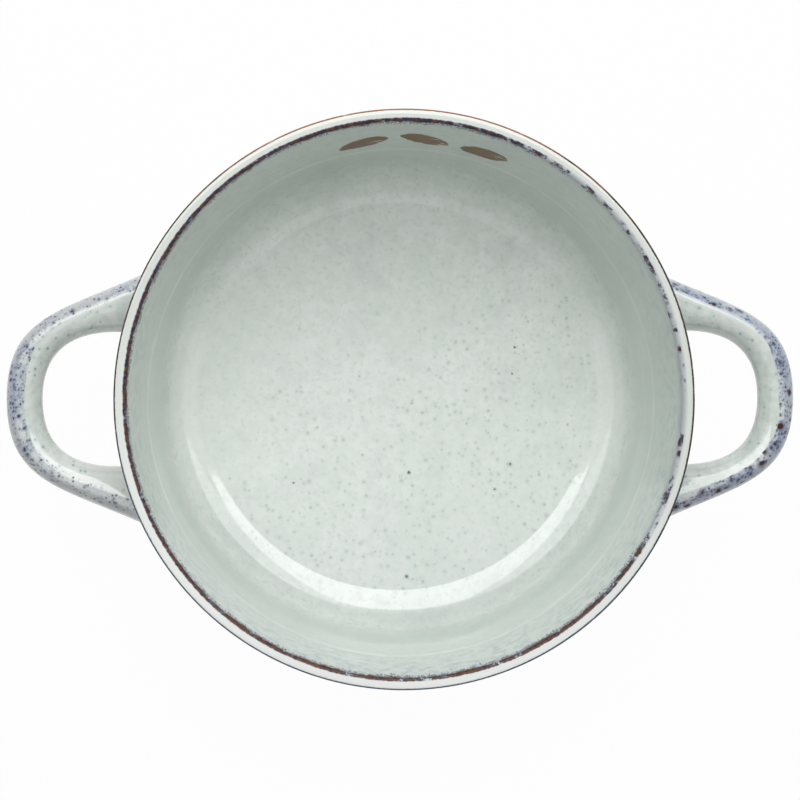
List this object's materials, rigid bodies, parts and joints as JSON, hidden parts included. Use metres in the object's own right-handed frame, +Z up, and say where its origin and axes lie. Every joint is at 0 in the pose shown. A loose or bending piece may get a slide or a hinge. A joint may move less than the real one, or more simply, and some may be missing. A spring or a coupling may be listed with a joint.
{
  "type": "soup bowl",
  "caption": "Round glazed stoneware soup bowl with a leaning wall, flat floor, turned foot ring and a flat loop handle on each side to carry it by.",
  "frame": {"origin": "centre of the standing plane, under the middle of the foot ring", "axes": "+Z up out of the mouth of the bowl, +X through the middle of the right handle, +Y to the back"},
  "size_m": [0.2078, 0.1498, 0.066],
  "materials": {
    "glaze": "pale grey-green glaze with dark specks and iron-brown edges",
    "slip": "fired stoneware slip under the glaze"
  },
  "bodies": {
    "root": {"bowl_body": "glaze", "left_handle": "glaze", "right_handle": "glaze", "left_handle_back_slip": "slip", "left_handle_front_slip": "slip", "right_handle_back_slip": "slip", "right_handle_front_slip": "slip"}
  },
  "joints": []
}
